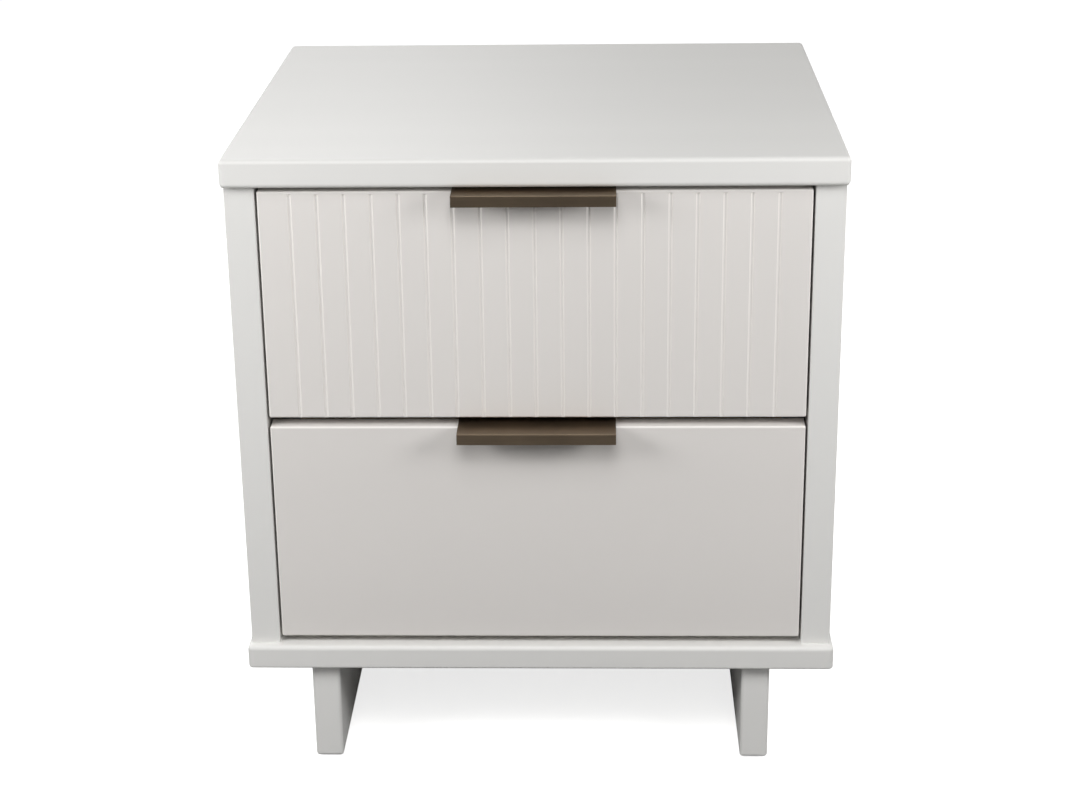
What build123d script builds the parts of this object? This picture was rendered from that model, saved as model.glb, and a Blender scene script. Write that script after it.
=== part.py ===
"""Two-drawer nightstand: painted case on two plank legs, inset drawers on ball-bearing slides.

Millimetres. +X is to the right, +Y to the back, +Z up. The origin is on the floor, under the
middle of the whole piece, pulls included.
"""

import os
from math import copysign
from typing import NamedTuple

from build123d import *

os.makedirs("parts", exist_ok=True)

# ---------------------------------------------------------------- case
overall_height = 552.4
top_width = 509.0
base_width = 511.5
slab_depth = 457.0
top_thickness = 24.0
base_thickness = 21.5
slab_radius = 4.0
slab_lower_radius = 2.5
slab_overhang_front = 8.0
panel_inset = 2.0
side_thickness = 25.0
side_edge_radius = 1.0
leg_height = 94.0
leg_thickness = 24.5
leg_spacing = 378.4
leg_setback = 10.0
leg_edge_radius = 3.0
glide_stand_off = 1.5
glide_radius = 8.0
glide_height = 3.5
glide_chamfer = 0.8
glide_spigot_radius = 1.5
glide_spigot_end = 13.3
glide_from_leg_end = 25.0
back_thickness = 6.0
back_recess = 2.0
back_rebate_width = 10.0
back_edge_room = 0.5

# ---------------------------------------------------------------- drawers
front_height = 197.0
front_thickness = 20.0
front_radius = 1.8
front_rear_radius = 1.0
front_side_gap = 1.9
gap_below_lower_front = 6.5
gap_between_fronts = 8.0
groove_count = 19
groove_margin = 26.5
groove_radius = 2.0
groove_depth = 0.9
groove_stop = 4.0
box_height = 150.0
box_depth = 400.0
box_wall = 14.0
box_lift = 14.0
box_edge_radius = 1.5
box_bottom_thickness = 6.0
box_bottom_lift = 10.0
box_groove_depth = 6.5
box_groove_clearance = 0.1
box_groove_end_room = 0.5

# ---------------------------------------------------------------- pulls
pull_length = 133.0
pull_thickness = 1.6
pull_projection = 22.5
pull_lip_height = 9.4
pull_flange_height = 18.0
pull_edge_radius = 0.5
pull_screw_spacing = 96.0

# ---------------------------------------------------------------- slides
slide_depth = 12.7
slide_length = 396.0
slide_setback = 22.0
slide_wall = 1.2
slide_corner_radius = 1.5
middle_rail_length = 376.0
cabinet_rail_half = 22.75
middle_rail_half = 17.25
drawer_rail_half = 11.75
cabinet_rail_lip = 8.4
middle_rail_web = 2.4
middle_rail_lip = 10.8
drawer_rail_lip = 6.0
ball_radius = 2.0
ball_clearance = 0.15
cage_wall = 0.6
cage_length = 170.0
cage_start = 110.0
cage_shift = 10.0
cage_end_room = 10.0
cage_ball_count = 6
outer_ball_reach = 5.0
inner_ball_reach = 8.4
outer_cage_web = 1.45
inner_cage_web = 4.0
cage_lip_past_ball = 2.2
access_hole_radius = 4.5
rail_screw_steps = (37.0, 165.0, 357.0)

# ---------------------------------------------------------------- dowels, cam bolts and cam locks
fit_clearance = 0.06
hole_end_room = 1.0
dowel_radius = 4.0
dowel_length = 30.0
dowel_chamfer = 0.8
dowel_in_slab = 11.0
dowel_from_front = 40.0
dowel_from_back = 45.0
box_dowel_radius = 3.0
box_dowel_length = 24.0
box_dowel_in_side = 8.0
box_dowel_steps = (32.0, 112.0)
joint_line = 9.5
cam_radius = 7.4
cam_depth = 13.4
cam_clearance = 0.1
cam_distance = 34.0
cam_from_front = 75.0
cam_from_back = 80.0
cam_cavity_radius = 3.7
cam_entry_radius = 2.2
cam_cross_length = 9.0
cam_cross_width = 1.4
cam_cross_depth = 2.0
bolt_thread_length = 11.0
bolt_thread_radius = 2.9
bolt_tip_radius = 1.6
bolt_tip_length = 2.0
bolt_shank_radius = 3.3
bolt_neck_radius = 1.8
bolt_neck_length = 5.0
bolt_head_radius = 3.0
bolt_head_half = 1.5
bolt_hole_in_slab = 3.0
bolt_hole_in_side = 3.6


# ---------------------------------------------------------------- screws
class ScrewSize(NamedTuple):
    """Radii of the head and shank, the length past the surface, and the head's height on it."""

    head: float
    shank: float
    length: float
    head_height: float = 0.0
    recess: float = 1.9


leg_screw_size = ScrewSize(head=4.6, shank=2.3, length=58.0, recess=2.4)
rail_screw_size = ScrewSize(head=3.6, shank=1.7, length=15.0, recess=1.8)
box_rail_screw_size = ScrewSize(head=3.4, shank=1.7, length=12.0, head_height=1.9)
back_screw_size = ScrewSize(head=3.5, shank=1.7, length=20.0, head_height=1.8)
front_screw_size = ScrewSize(head=4.2, shank=2.0, length=28.0, head_height=2.4, recess=2.3)
pull_screw_size = ScrewSize(head=3.4, shank=1.7, length=14.0, head_height=1.9)
recess_slot_width = 0.9
recess_depth = 1.2
pilot_end_room = 0.5
plate_hole_clearance = 0.3
leg_screw_from_end = 60.0
back_screw_steps = (30.0, 147.0, 265.0, 382.0)
front_screw_xs = (-150.0, 150.0)
front_screw_steps = (35.0, 115.0)
pull_screw_drop = 10.0

# ---------------------------------------------------------------- worked-out places
opening_half = top_width / 2 - panel_inset - side_thickness
total_depth = slab_depth - slab_overhang_front + pull_projection
front_y = -total_depth / 2 + pull_projection
slab_front_y = front_y - slab_overhang_front
slab_back_y = slab_front_y + slab_depth
side_back_y = slab_back_y - panel_inset
back_panel_y = side_back_y - back_recess - back_thickness
floor_z = leg_height + base_thickness
ceiling_z = overall_height - top_thickness
front_half = opening_half - front_side_gap
lower_front_z = floor_z + gap_below_lower_front
upper_front_z = lower_front_z + front_height + gap_between_fronts
box_half = opening_half - slide_depth
box_front_y = front_y + front_thickness
box_back_y = box_front_y + box_depth
rail_front_y = front_y + slide_setback
rail_screw_ys = [rail_front_y + step for step in rail_screw_steps]
levels = {"upper": upper_front_z, "lower": lower_front_z}
sides = {"left": -1, "right": 1}


def keep(piece, label):
    """Name the finished piece and write it to its own file."""
    piece.part.label = label
    export_step(piece.part, f"parts/{label}.step")


def span_box(corner, opposite, mode=Mode.ADD):
    """Box between two opposite corners."""
    centre = [(a + b) / 2 for a, b in zip(corner, opposite)]
    with Locations(tuple(centre)):
        Box(*[abs(b - a) for a, b in zip(corner, opposite)], mode=mode)


def drill(start, direction, radius, depth):
    """Round hole from a point on the surface into the piece."""
    with BuildSketch(Plane(origin=start, z_dir=direction)) as circle:
        Circle(radius)
    extrude(circle.sketch, amount=depth, mode=Mode.SUBTRACT)


def turned(start, direction, outline, mode=Mode.ADD):
    """Revolve an outline of (radius, distance) points about a line along direction."""
    across = Vector(0, 0, 1) if direction[2] == 0 else Vector(1, 0, 0)
    plane = Plane(origin=start, x_dir=across, z_dir=across.cross(Vector(direction)))
    with BuildSketch(plane) as half_section:
        with BuildLine():
            Polyline(*outline, close=True)
        make_face()
    revolve(half_section.sketch, axis=Axis(start, direction), mode=mode)


def countersunk_outline(size, room=0.0):
    """Flat-head screw, or with room its hole, from the surface inwards."""
    cone = size.head - size.shank
    return [
        (0, 0),
        (size.head + room, 0),
        (size.shank + room, cone),
        (size.shank + room, size.length - size.shank + room),
        (0, size.length + room),
    ]


def pan_outline(size):
    """Pan-head screw: the head stands before the surface, the shank goes in."""
    return [
        (0, -size.head_height),
        (size.head * 0.7, -size.head_height),
        (size.head, -size.head_height * 0.5),
        (size.head, 0),
        (size.shank, 0),
        (size.shank, size.length - size.shank),
        (0, size.length),
    ]


def cross_recess(size):
    """Cut the driver's cross into the head of a screw that points along +Z from the origin."""
    for half_x, half_y in ((size.recess, recess_slot_width / 2), (recess_slot_width / 2, size.recess)):
        span_box(
            (-half_x, -half_y, -size.head_height - recess_depth),
            (half_x, half_y, -size.head_height + recess_depth),
            mode=Mode.SUBTRACT,
        )


def set_screws(master, spots, direction):
    """Copies of a master screw, turned from +Z to point along direction."""
    across = (1, 0, 0) if direction[0] == 0 else (0, 1, 0)
    with Locations(*[Plane(origin=spot, x_dir=across, z_dir=direction) for spot in spots]):
        add(master.part)


def channel(side, centre_z, web, lip, half, wall, start_y, length):
    """C section along Y. web and lip are distances from the side panel's inner face."""
    section = Plane(
        origin=(side * opening_half, start_y, centre_z), x_dir=(-side, 0, 0), z_dir=(0, 1, 0)
    )
    inner = web + copysign(wall, lip - web)
    with BuildSketch(section) as outline:
        with Locations(((web + lip) / 2, 0)):
            Rectangle(abs(lip - web), 2 * half)
        fillet(
            outline.vertices().group_by(Axis.X)[0 if lip > web else -1],
            min(slide_corner_radius, wall * 1.25),
        )
        with Locations(((inner + lip) / 2, 0)):
            Rectangle(abs(lip - inner), 2 * (half - wall), mode=Mode.SUBTRACT)
    extrude(outline.sketch, amount=length)


def in_slide(side, reach, y, z):
    """Point at a distance from the side panel's inner face."""
    return (side * (opening_half - reach), y, z)


# ---------------------------------------------------------------- screws, made once at the origin
with BuildPart() as leg_screw:
    turned((0, 0, 0), (0, 0, 1), countersunk_outline(leg_screw_size))
    cross_recess(leg_screw_size)

with BuildPart() as rail_screw:
    turned((0, 0, 0), (0, 0, 1), countersunk_outline(rail_screw_size))
    cross_recess(rail_screw_size)

with BuildPart() as box_rail_screw:
    turned((0, 0, 0), (0, 0, 1), pan_outline(box_rail_screw_size))
    cross_recess(box_rail_screw_size)

with BuildPart() as back_screw:
    turned((0, 0, 0), (0, 0, 1), pan_outline(back_screw_size))
    cross_recess(back_screw_size)

with BuildPart() as front_screw:
    turned((0, 0, 0), (0, 0, 1), pan_outline(front_screw_size))
    cross_recess(front_screw_size)

with BuildPart() as pull_screw:
    turned((0, 0, 0), (0, 0, 1), pan_outline(pull_screw_size))
    cross_recess(pull_screw_size)

# ---------------------------------------------------------------- places of the fastenings
joint_x = opening_half + joint_line
dowel_ys = (front_y + dowel_from_front, side_back_y - dowel_from_back)
cam_ys = (front_y + cam_from_front, side_back_y - cam_from_back)
slab_faces = {floor_z: 1, ceiling_z: -1}
leg_front_y = slab_front_y + leg_setback
leg_back_y = slab_back_y - leg_setback
leg_screw_ys = (
    leg_front_y + leg_screw_from_end,
    (leg_front_y + leg_back_y) / 2,
    leg_back_y - leg_screw_from_end,
)
glide_ys = (leg_front_y + glide_from_leg_end, leg_back_y - glide_from_leg_end)
back_screw_zs = [floor_z + step for step in back_screw_steps]
back_screw_x = opening_half + back_rebate_width / 2

# ---------------------------------------------------------------- top and bottom slabs
for label, width, low_z, high_z, inner_z, into in (
    ("top_panel", top_width, ceiling_z, overall_height, ceiling_z, 1),
    ("bottom_panel", base_width, leg_height, floor_z, floor_z, -1),
):
    with BuildPart() as slab:
        span_box((-width / 2, slab_front_y, low_z), (width / 2, slab_back_y, high_z))
        fillet(slab.edges().filter_by(Axis.Z), slab_radius)
        fillet(slab.faces().sort_by(Axis.Z)[-1].edges(), slab_radius)
        fillet(slab.faces().sort_by(Axis.Z)[0].edges(), slab_lower_radius)
        for side in sides.values():
            for y in dowel_ys:
                start = (side * joint_x, y, inner_z)
                drill(start, (0, 0, into), dowel_radius + fit_clearance, dowel_in_slab + hole_end_room)
            for y in cam_ys:
                start = (side * joint_x, y, inner_z)
                drill(start, (0, 0, into), bolt_hole_in_slab, bolt_thread_length + hole_end_room)
            if label == "bottom_panel":
                for y in leg_screw_ys:
                    turned(
                        (side * leg_spacing / 2, y, floor_z),
                        (0, 0, -1),
                        countersunk_outline(leg_screw_size, fit_clearance),
                        mode=Mode.SUBTRACT,
                    )
    keep(slab, label)

# ---------------------------------------------------------------- side panels
for name, side in sides.items():
    inner_x = side * opening_half
    outer_x = side * (opening_half + side_thickness)
    rebate_x = side * (opening_half + back_rebate_width)
    with BuildPart() as side_panel:
        span_box((inner_x, front_y, floor_z), (outer_x, side_back_y, ceiling_z))
        fillet(side_panel.edges().filter_by(Axis.Z), side_edge_radius)
        span_box(
            (inner_x - side, back_panel_y, floor_z),
            (rebate_x, side_back_y + hole_end_room, ceiling_z),
            mode=Mode.SUBTRACT,
        )
        for end_z, inward in slab_faces.items():
            for y in dowel_ys:
                drill(
                    (side * joint_x, y, end_z),
                    (0, 0, inward),
                    dowel_radius + fit_clearance,
                    dowel_length - dowel_in_slab + hole_end_room,
                )
            for y in cam_ys:
                drill((side * joint_x, y, end_z), (0, 0, inward), bolt_hole_in_side, cam_distance)
                drill(
                    (inner_x, y, end_z + inward * cam_distance),
                    (side, 0, 0),
                    cam_radius + cam_clearance,
                    cam_depth + 2 * cam_clearance,
                )
        for front_z in levels.values():
            for y in rail_screw_ys:
                turned(
                    in_slide(side, slide_wall, y, front_z + box_lift + box_height / 2),
                    (side, 0, 0),
                    countersunk_outline(rail_screw_size, fit_clearance),
                    mode=Mode.SUBTRACT,
                )
        for z in back_screw_zs:
            drill(
                (side * back_screw_x, back_panel_y, z),
                (0, -1, 0),
                back_screw_size.shank + fit_clearance,
                back_screw_size.length - back_thickness + pilot_end_room,
            )
    keep(side_panel, f"{name}_side_panel")

# ---------------------------------------------------------------- back panel, in the side panels' rebates
back_half = opening_half + back_rebate_width - back_edge_room
back_rear_y = back_panel_y + back_thickness
back_screw_spots = [(side * back_screw_x, back_rear_y, z) for side in sides.values() for z in back_screw_zs]
with BuildPart() as back_panel:
    span_box(
        (-back_half, back_panel_y, floor_z + back_edge_room),
        (back_half, back_rear_y, ceiling_z - back_edge_room),
    )
    for spot in back_screw_spots:
        drill(spot, (0, -1, 0), back_screw_size.shank + 2 * fit_clearance, back_thickness)
keep(back_panel, "back_panel")

with BuildPart() as back_panel_screws:
    set_screws(back_screw, back_screw_spots, (0, -1, 0))
keep(back_panel_screws, "back_panel_screws")

# ---------------------------------------------------------------- plank legs on nylon glides
for name, side in sides.items():
    leg_x = side * leg_spacing / 2
    with BuildPart() as leg:
        span_box(
            (leg_x - leg_thickness / 2, leg_front_y, glide_stand_off),
            (leg_x + leg_thickness / 2, leg_back_y, leg_height),
        )
        top_edges = leg.edges().group_by(Axis.Z)[-1]
        fillet(leg.edges() - top_edges, leg_edge_radius)
        for y in leg_screw_ys:
            drill(
                (leg_x, y, leg_height),
                (0, 0, -1),
                leg_screw_size.shank + fit_clearance,
                leg_screw_size.length - base_thickness + pilot_end_room,
            )
        for y in glide_ys:
            start = (leg_x, y, glide_stand_off)
            spigot_depth = glide_spigot_end - glide_stand_off + pilot_end_room
            drill(start, (0, 0, 1), glide_spigot_radius + fit_clearance, spigot_depth)
            drill(start, (0, 0, 1), glide_radius + fit_clearance, glide_height - glide_stand_off)
    keep(leg, f"{name}_leg")

with BuildPart() as leg_glides:
    for side in sides.values():
        for y in glide_ys:
            turned(
                (side * leg_spacing / 2, y, 0),
                (0, 0, 1),
                [
                    (0, 0),
                    (glide_radius - glide_chamfer, 0),
                    (glide_radius, glide_chamfer),
                    (glide_radius, glide_height),
                    (glide_spigot_radius, glide_height),
                    (glide_spigot_radius, glide_spigot_end - glide_spigot_radius),
                    (0, glide_spigot_end),
                ],
            )
keep(leg_glides, "leg_glides")

with BuildPart() as leg_screws:
    leg_screw_spots = [(side * leg_spacing / 2, y, floor_z) for side in sides.values() for y in leg_screw_ys]
    set_screws(leg_screw, leg_screw_spots, (0, 0, -1))
keep(leg_screws, "leg_screws")

# ---------------------------------------------------------------- case joints: dowels, cam bolts, cam locks
with BuildPart() as carcass_dowels:
    for side in sides.values():
        for slab_z, inward in slab_faces.items():
            for y in dowel_ys:
                middle = slab_z + inward * (dowel_length / 2 - dowel_in_slab)
                with Locations((side * joint_x, y, middle)):
                    dowel = Cylinder(dowel_radius, dowel_length)
                chamfer(dowel.edges(), dowel_chamfer)
keep(carcass_dowels, "carcass_dowels")

head_start = cam_distance - 2 * bolt_head_half
head_end = cam_distance + 2 * bolt_head_half
neck_start = head_start - bolt_neck_length
with BuildPart() as cam_bolts:
    for side in sides.values():
        for slab_z, inward in slab_faces.items():
            for y in cam_ys:
                turned(
                    (side * joint_x, y, slab_z),
                    (0, 0, inward),
                    [
                        (0, -bolt_thread_length),
                        (bolt_tip_radius, -bolt_thread_length),
                        (bolt_thread_radius, bolt_tip_length - bolt_thread_length),
                        (bolt_thread_radius, 0),
                        (bolt_shank_radius, 0),
                        (bolt_shank_radius, neck_start - bolt_head_half),
                        (bolt_neck_radius, neck_start),
                        (bolt_neck_radius, head_start),
                        (bolt_head_radius, head_start + bolt_head_half),
                        (bolt_head_radius, head_end - bolt_head_half),
                        (bolt_neck_radius, head_end),
                        (0, head_end),
                    ],
                )
keep(cam_bolts, "cam_bolts")

with BuildPart() as cam_locks:
    for side in sides.values():
        for slab_z, inward in slab_faces.items():
            for y in cam_ys:
                cam_z = slab_z + inward * cam_distance
                cam_face = (side * opening_half, y, cam_z)
                with BuildSketch(Plane(origin=cam_face, x_dir=(0, 1, 0), z_dir=(side, 0, 0))):
                    Circle(cam_radius)
                extrude(amount=cam_depth)
                # Cavity for the bolt's head, its way in, and the cross for the driver.
                with Locations((side * joint_x, y, cam_z)):
                    Sphere(cam_cavity_radius, mode=Mode.SUBTRACT)
                drill((side * joint_x, y, cam_z), (0, 0, -inward), cam_entry_radius, cam_radius + hole_end_room)
                for width, height in (
                    (cam_cross_length, cam_cross_width),
                    (cam_cross_width, cam_cross_length),
                ):
                    with Locations(cam_face):
                        Box(2 * cam_cross_depth, width, height, mode=Mode.SUBTRACT)
keep(cam_locks, "cam_locks")

# ---------------------------------------------------------------- ball-bearing slides
outer_ball_v = (cabinet_rail_half - slide_wall + middle_rail_half) / 2
inner_ball_v = (middle_rail_half - slide_wall + drawer_rail_half) / 2
middle_rail_y = rail_front_y + (slide_length - middle_rail_length) / 2


def ball_centres(reach, ball_v, start_y, centre_z):
    """Centres of the balls that run above and below one slide's rails, both sides."""
    step = (cage_length - 2 * cage_end_room) / (cage_ball_count - 1)
    return [
        in_slide(side, reach, start_y + cage_end_room + step * place, centre_z + edge * ball_v)
        for side in sides.values()
        for edge in (-1, 1)
        for place in range(cage_ball_count)
    ]


for level, front_z in levels.items():
    rail_z = front_z + box_lift + box_height / 2
    for name, side in sides.items():
        with BuildPart() as cabinet_rail:
            channel(
                side, rail_z, 0, cabinet_rail_lip, cabinet_rail_half, slide_wall, rail_front_y, slide_length
            )
            for y in rail_screw_ys:
                turned(
                    in_slide(side, slide_wall, y, rail_z),
                    (side, 0, 0),
                    countersunk_outline(rail_screw_size, fit_clearance),
                    mode=Mode.SUBTRACT,
                )
        keep(cabinet_rail, f"{level}_{name}_cabinet_rail")

        with BuildPart() as middle_rail:
            channel(
                side,
                rail_z,
                middle_rail_web,
                middle_rail_lip,
                middle_rail_half,
                slide_wall,
                middle_rail_y,
                middle_rail_length,
            )
            for y in rail_screw_ys:
                web_end = middle_rail_web + 2 * slide_wall
                drill(in_slide(side, 0, y, rail_z), (-side, 0, 0), access_hole_radius, web_end)
        keep(middle_rail, f"{level}_{name}_middle_rail")

        with BuildPart() as drawer_rail:
            channel(
                side,
                rail_z,
                slide_depth,
                drawer_rail_lip,
                drawer_rail_half,
                slide_wall,
                rail_front_y,
                slide_length,
            )
            for y in rail_screw_ys:
                drill(
                    in_slide(side, slide_depth - 2 * slide_wall, y, rail_z),
                    (-side, 0, 0),
                    box_rail_screw_size.shank + plate_hole_clearance,
                    3 * slide_wall,
                )
        keep(drawer_rail, f"{level}_{name}_drawer_rail")

    for cage, reach, web, ball_v, start in (
        ("outer", outer_ball_reach, outer_cage_web, outer_ball_v, cage_start),
        ("inner", inner_ball_reach, inner_cage_web, inner_ball_v, cage_start + cage_shift),
    ):
        centres = ball_centres(reach, ball_v, rail_front_y + start, rail_z)
        with BuildPart() as ball_cages:
            for side in sides.values():
                channel(
                    side,
                    rail_z,
                    web,
                    reach + cage_lip_past_ball,
                    ball_v + cage_wall / 2,
                    cage_wall,
                    rail_front_y + start,
                    cage_length,
                )
            with Locations(*centres):
                Cylinder(ball_radius + ball_clearance, 4 * cage_wall, mode=Mode.SUBTRACT)
        keep(ball_cages, f"{level}_{cage}_ball_cages")

        with BuildPart() as balls:
            with Locations(*centres):
                Sphere(ball_radius)
        keep(balls, f"{level}_{cage}_balls")

with BuildPart() as cabinet_rail_screws:
    for side in sides.values():
        for front_z in levels.values():
            rail_z = front_z + box_lift + box_height / 2
            set_screws(
                rail_screw, [in_slide(side, slide_wall, y, rail_z) for y in rail_screw_ys], (side, 0, 0)
            )
keep(cabinet_rail_screws, "cabinet_rail_screws")

# ---------------------------------------------------------------- drawers
groove_pitch = (2 * front_half - 2 * groove_margin) / (groove_count - 1)

for level, front_z in levels.items():
    top_z = front_z + front_height
    box_z = front_z + box_lift
    rail_z = box_z + box_height / 2
    front_screw_spots = [(x, box_front_y, box_z + step) for x in front_screw_xs for step in front_screw_steps]
    pull_screw_spots = [
        (edge * pull_screw_spacing / 2, box_front_y, top_z - pull_screw_drop) for edge in (-1, 1)
    ]

    with BuildPart() as drawer_front:
        span_box((-front_half, front_y, front_z), (front_half, box_front_y, top_z))
        fillet(drawer_front.edges().filter_by(Axis.Y), front_radius)
        fillet(drawer_front.faces().sort_by(Axis.Y)[0].edges(), front_radius)
        fillet(drawer_front.faces().sort_by(Axis.Y)[-1].edges(), front_rear_radius)
        if level == "upper":
            # Round-nosed vertical grooves, run out below and stopped under the top edge.
            groove_xs = [groove_pitch * (i - (groove_count - 1) / 2) for i in range(groove_count)]
            cutter_y = front_y - groove_radius + groove_depth
            run_length = front_height - groove_stop + hole_end_room
            for x in groove_xs:
                drill((x, cutter_y, front_z - hole_end_room), (0, 0, 1), groove_radius, run_length)
                with Locations((x, cutter_y, top_z - groove_stop)):
                    Sphere(groove_radius, mode=Mode.SUBTRACT)
        for spot in front_screw_spots:
            pilot_depth = front_screw_size.length - box_wall + pilot_end_room
            drill(spot, (0, -1, 0), front_screw_size.shank + fit_clearance, pilot_depth)
        for spot in pull_screw_spots:
            pilot_depth = pull_screw_size.length - pull_thickness + pilot_end_room
            drill(spot, (0, -1, 0), pull_screw_size.shank + fit_clearance, pilot_depth)
    keep(drawer_front, f"{level}_drawer_front")

    with BuildPart() as pull:
        # Flange behind the front, plate over its top edge, and the lip that the fingers hook.
        plate_z = top_z + pull_thickness
        flange_y = box_front_y + pull_thickness
        span_box((-pull_length / 2, front_y - pull_projection, top_z), (pull_length / 2, flange_y, plate_z))
        span_box(
            (-pull_length / 2, box_front_y, plate_z - pull_flange_height),
            (pull_length / 2, flange_y, plate_z),
        )
        lip_y = front_y - pull_projection
        span_box(
            (-pull_length / 2, lip_y, plate_z - pull_lip_height),
            (pull_length / 2, lip_y + pull_thickness, plate_z),
        )
        fillet(pull.edges().filter_by(Axis.X), pull_edge_radius)
        for spot in pull_screw_spots:
            drill(spot, (0, 1, 0), pull_screw_size.shank + plate_hole_clearance, pull_thickness)
    keep(pull, f"{level}_pull")

    with BuildPart() as pull_screws:
        set_screws(pull_screw, [(x, y + pull_thickness, z) for x, y, z in pull_screw_spots], (0, -1, 0))
    keep(pull_screws, f"{level}_pull_screws")

    with BuildPart() as front_screws:
        set_screws(front_screw, [(x, y + box_wall, z) for x, y, z in front_screw_spots], (0, -1, 0))
    keep(front_screws, f"{level}_front_screws")

    # The four walls hold the bottom in a groove.
    inner_half = box_half - box_wall
    groove_low = (
        -inner_half - box_groove_depth,
        box_front_y + box_wall - box_groove_depth,
        box_z + box_bottom_lift - box_groove_clearance,
    )
    groove_high = (
        inner_half + box_groove_depth,
        box_back_y - box_wall + box_groove_depth,
        box_z + box_bottom_lift + box_bottom_thickness + box_groove_clearance,
    )
    end_walls = {
        "box_front": (box_front_y, box_front_y + box_wall),
        "box_back": (box_back_y - box_wall, box_back_y),
    }
    for name, (near_y, far_y) in end_walls.items():
        middle_y = (near_y + far_y) / 2
        with BuildPart() as end_wall:
            span_box((-inner_half, near_y, box_z), (inner_half, far_y, box_z + box_height))
            fillet(end_wall.edges().filter_by(Axis.X).group_by(Axis.Z)[-1], box_edge_radius)
            span_box(groove_low, groove_high, mode=Mode.SUBTRACT)
            for side in sides.values():
                for step in box_dowel_steps:
                    drill(
                        (side * inner_half, middle_y, box_z + step),
                        (-side, 0, 0),
                        box_dowel_radius + fit_clearance,
                        box_dowel_length - box_dowel_in_side + hole_end_room,
                    )
            if name == "box_front":
                for spot in front_screw_spots:
                    drill(spot, (0, 1, 0), front_screw_size.shank + 2 * fit_clearance, box_wall)
        keep(end_wall, f"{level}_{name}")

    for name, side in sides.items():
        inner_x = side * inner_half
        outer_x = side * box_half
        with BuildPart() as side_wall:
            span_box((inner_x, box_front_y, box_z), (outer_x, box_back_y, box_z + box_height))
            fillet(side_wall.edges().filter_by(Axis.Y).group_by(Axis.Z)[-1], box_edge_radius)
            span_box(groove_low, groove_high, mode=Mode.SUBTRACT)
            for near_y, far_y in end_walls.values():
                for step in box_dowel_steps:
                    drill(
                        (inner_x, (near_y + far_y) / 2, box_z + step),
                        (side, 0, 0),
                        box_dowel_radius + fit_clearance,
                        box_dowel_in_side + hole_end_room,
                    )
            for y in rail_screw_ys:
                pilot_depth = box_rail_screw_size.length - slide_wall + pilot_end_room
                drill(
                    (outer_x, y, rail_z),
                    (-side, 0, 0),
                    box_rail_screw_size.shank + fit_clearance,
                    pilot_depth,
                )
        keep(side_wall, f"{level}_box_{name}_side")

    with BuildPart() as box_bottom:
        room = box_groove_depth - box_groove_end_room
        span_box(
            (-inner_half - room, box_front_y + box_wall - room, box_z + box_bottom_lift),
            (
                inner_half + room,
                box_back_y - box_wall + room,
                box_z + box_bottom_lift + box_bottom_thickness,
            ),
        )
    keep(box_bottom, f"{level}_box_bottom")

    with BuildPart() as box_dowels:
        for side in sides.values():
            for near_y, far_y in end_walls.values():
                for step in box_dowel_steps:
                    middle_x = inner_half + box_dowel_in_side - box_dowel_length / 2
                    with BuildSketch(
                        Plane(
                            origin=(
                                side * (middle_x - box_dowel_length / 2),
                                (near_y + far_y) / 2,
                                box_z + step,
                            ),
                            x_dir=(0, 1, 0),
                            z_dir=(side, 0, 0),
                        )
                    ):
                        Circle(box_dowel_radius)
                    extrude(amount=box_dowel_length)
    keep(box_dowels, f"{level}_box_dowels")

    with BuildPart() as drawer_rail_screws:
        for side in sides.values():
            spots = [in_slide(side, slide_depth - slide_wall, y, rail_z) for y in rail_screw_ys]
            set_screws(box_rail_screw, spots, (-side, 0, 0))
    keep(drawer_rail_screws, f"{level}_drawer_rail_screws")
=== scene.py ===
"""Two-drawer nightstand: painted boards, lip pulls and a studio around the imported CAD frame.

Lengths are metres, in the CAD part's frame: +X to the right, +Y to the back, +Z up.
"""

from math import radians

import bmesh
import bpy
from bpy.props import FloatProperty, FloatVectorProperty, IntProperty, PointerProperty
from mathutils import Matrix, Vector


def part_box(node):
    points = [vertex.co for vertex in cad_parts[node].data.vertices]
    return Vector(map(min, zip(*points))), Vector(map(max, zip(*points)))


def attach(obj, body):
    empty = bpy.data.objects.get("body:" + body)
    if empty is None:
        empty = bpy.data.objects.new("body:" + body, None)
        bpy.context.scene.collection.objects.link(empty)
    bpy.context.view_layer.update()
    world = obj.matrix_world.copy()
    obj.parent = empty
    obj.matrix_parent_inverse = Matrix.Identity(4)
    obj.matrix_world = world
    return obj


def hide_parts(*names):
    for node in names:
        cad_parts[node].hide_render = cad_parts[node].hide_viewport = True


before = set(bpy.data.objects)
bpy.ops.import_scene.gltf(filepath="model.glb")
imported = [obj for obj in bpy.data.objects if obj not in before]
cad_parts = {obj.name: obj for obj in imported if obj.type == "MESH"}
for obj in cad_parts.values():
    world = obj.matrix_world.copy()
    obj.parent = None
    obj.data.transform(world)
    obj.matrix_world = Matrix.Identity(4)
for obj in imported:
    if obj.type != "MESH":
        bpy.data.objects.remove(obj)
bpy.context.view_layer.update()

bl_info = {
    "name": "Nightstand builder",
    "version": (1, 0, 0),
    "blender": (4, 5, 0),
    "location": "3D View > Sidebar > Nightstand",
    "description": "Models the boards, fronts and pulls of a two-drawer nightstand",
    "category": "Add Mesh",
}

MM = 0.001
TOUCH = 0.01 * MM

# Each soft lamp's place, its size across, and the setting that holds its power.
LAMPS = {
    "left_lamp": ((-0.95, -0.7, 0.8), 0.4, "left_power"),
    "right_lamp": ((0.95, -0.7, 0.8), 0.4, "right_power"),
    "front_lamp": ((0.0, -1.7, 1.5), 0.9, "front_power"),
    "top_lamp": ((0.0, -1.5, 2.1), 1.0, "top_power"),
    "back_lamp": ((-0.6, 1.7, 1.9), 1.2, "back_power"),
    "left_side_lamp": ((-1.5, 1.0, 0.95), 0.9, "side_power"),
    "right_side_lamp": ((1.5, 1.0, 0.95), 0.9, "side_power"),
}
LAMPS_AIM = Vector((0, 0, 0.3))


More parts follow.
